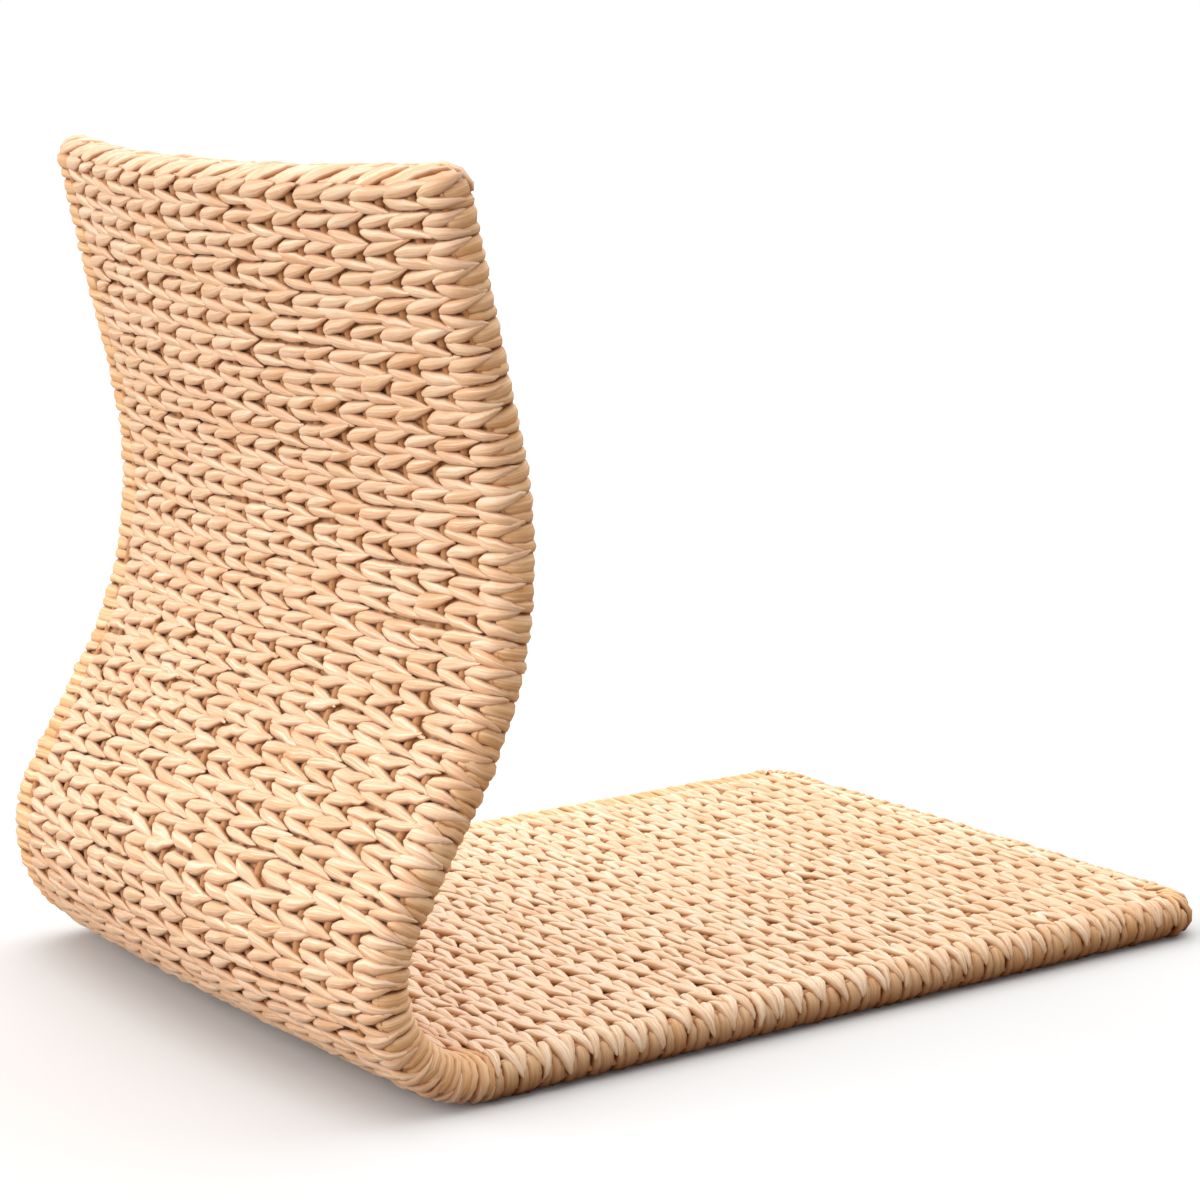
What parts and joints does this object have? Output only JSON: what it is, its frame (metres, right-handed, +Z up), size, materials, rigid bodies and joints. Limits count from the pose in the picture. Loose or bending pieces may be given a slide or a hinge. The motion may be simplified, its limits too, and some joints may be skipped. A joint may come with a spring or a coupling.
{
  "type": "legless woven floor chair",
  "caption": "Legless floor chair: a flat seat bent up into a curved, bowed back, one woven straw panel over a hidden steel bar frame, for sitting at floor level.",
  "frame": {"origin": "on the floor, under the middle of the chair's bounding box", "axes": "+Z up; the chair faces -Y, so its back is at +Y; +X is the sitter's left"},
  "size_m": [0.42, 0.6108, 0.4815],
  "materials": {
    "woven_straw": "natural straw twined in chains, dry, with a slight sheen",
    "straw_edge": "natural straw strands wrapped round the edge",
    "frame_steel": "dark satin paint, hidden inside the weave"
  },
  "bodies": {
    "root": {"seat_top_weave": "woven_straw", "seat_under_weave": "woven_straw", "back_front_weave": "woven_straw", "back_rear_weave": "woven_straw", "left_seat_edge_wrap": "straw_edge", "right_seat_edge_wrap": "straw_edge", "left_back_edge_wrap": "straw_edge", "right_back_edge_wrap": "straw_edge", "front_edge_wrap": "straw_edge", "top_edge_wrap": "straw_edge", "left_side_rail": "frame_steel", "right_side_rail": "frame_steel", "front_rail": "frame_steel", "top_rail": "frame_steel", "seat_front_bar": "frame_steel", "seat_middle_bar": "frame_steel", "seat_rear_bar": "frame_steel", "bend_bar": "frame_steel", "lumbar_bar": "frame_steel", "upper_back_bar": "frame_steel"}
  },
  "joints": []
}
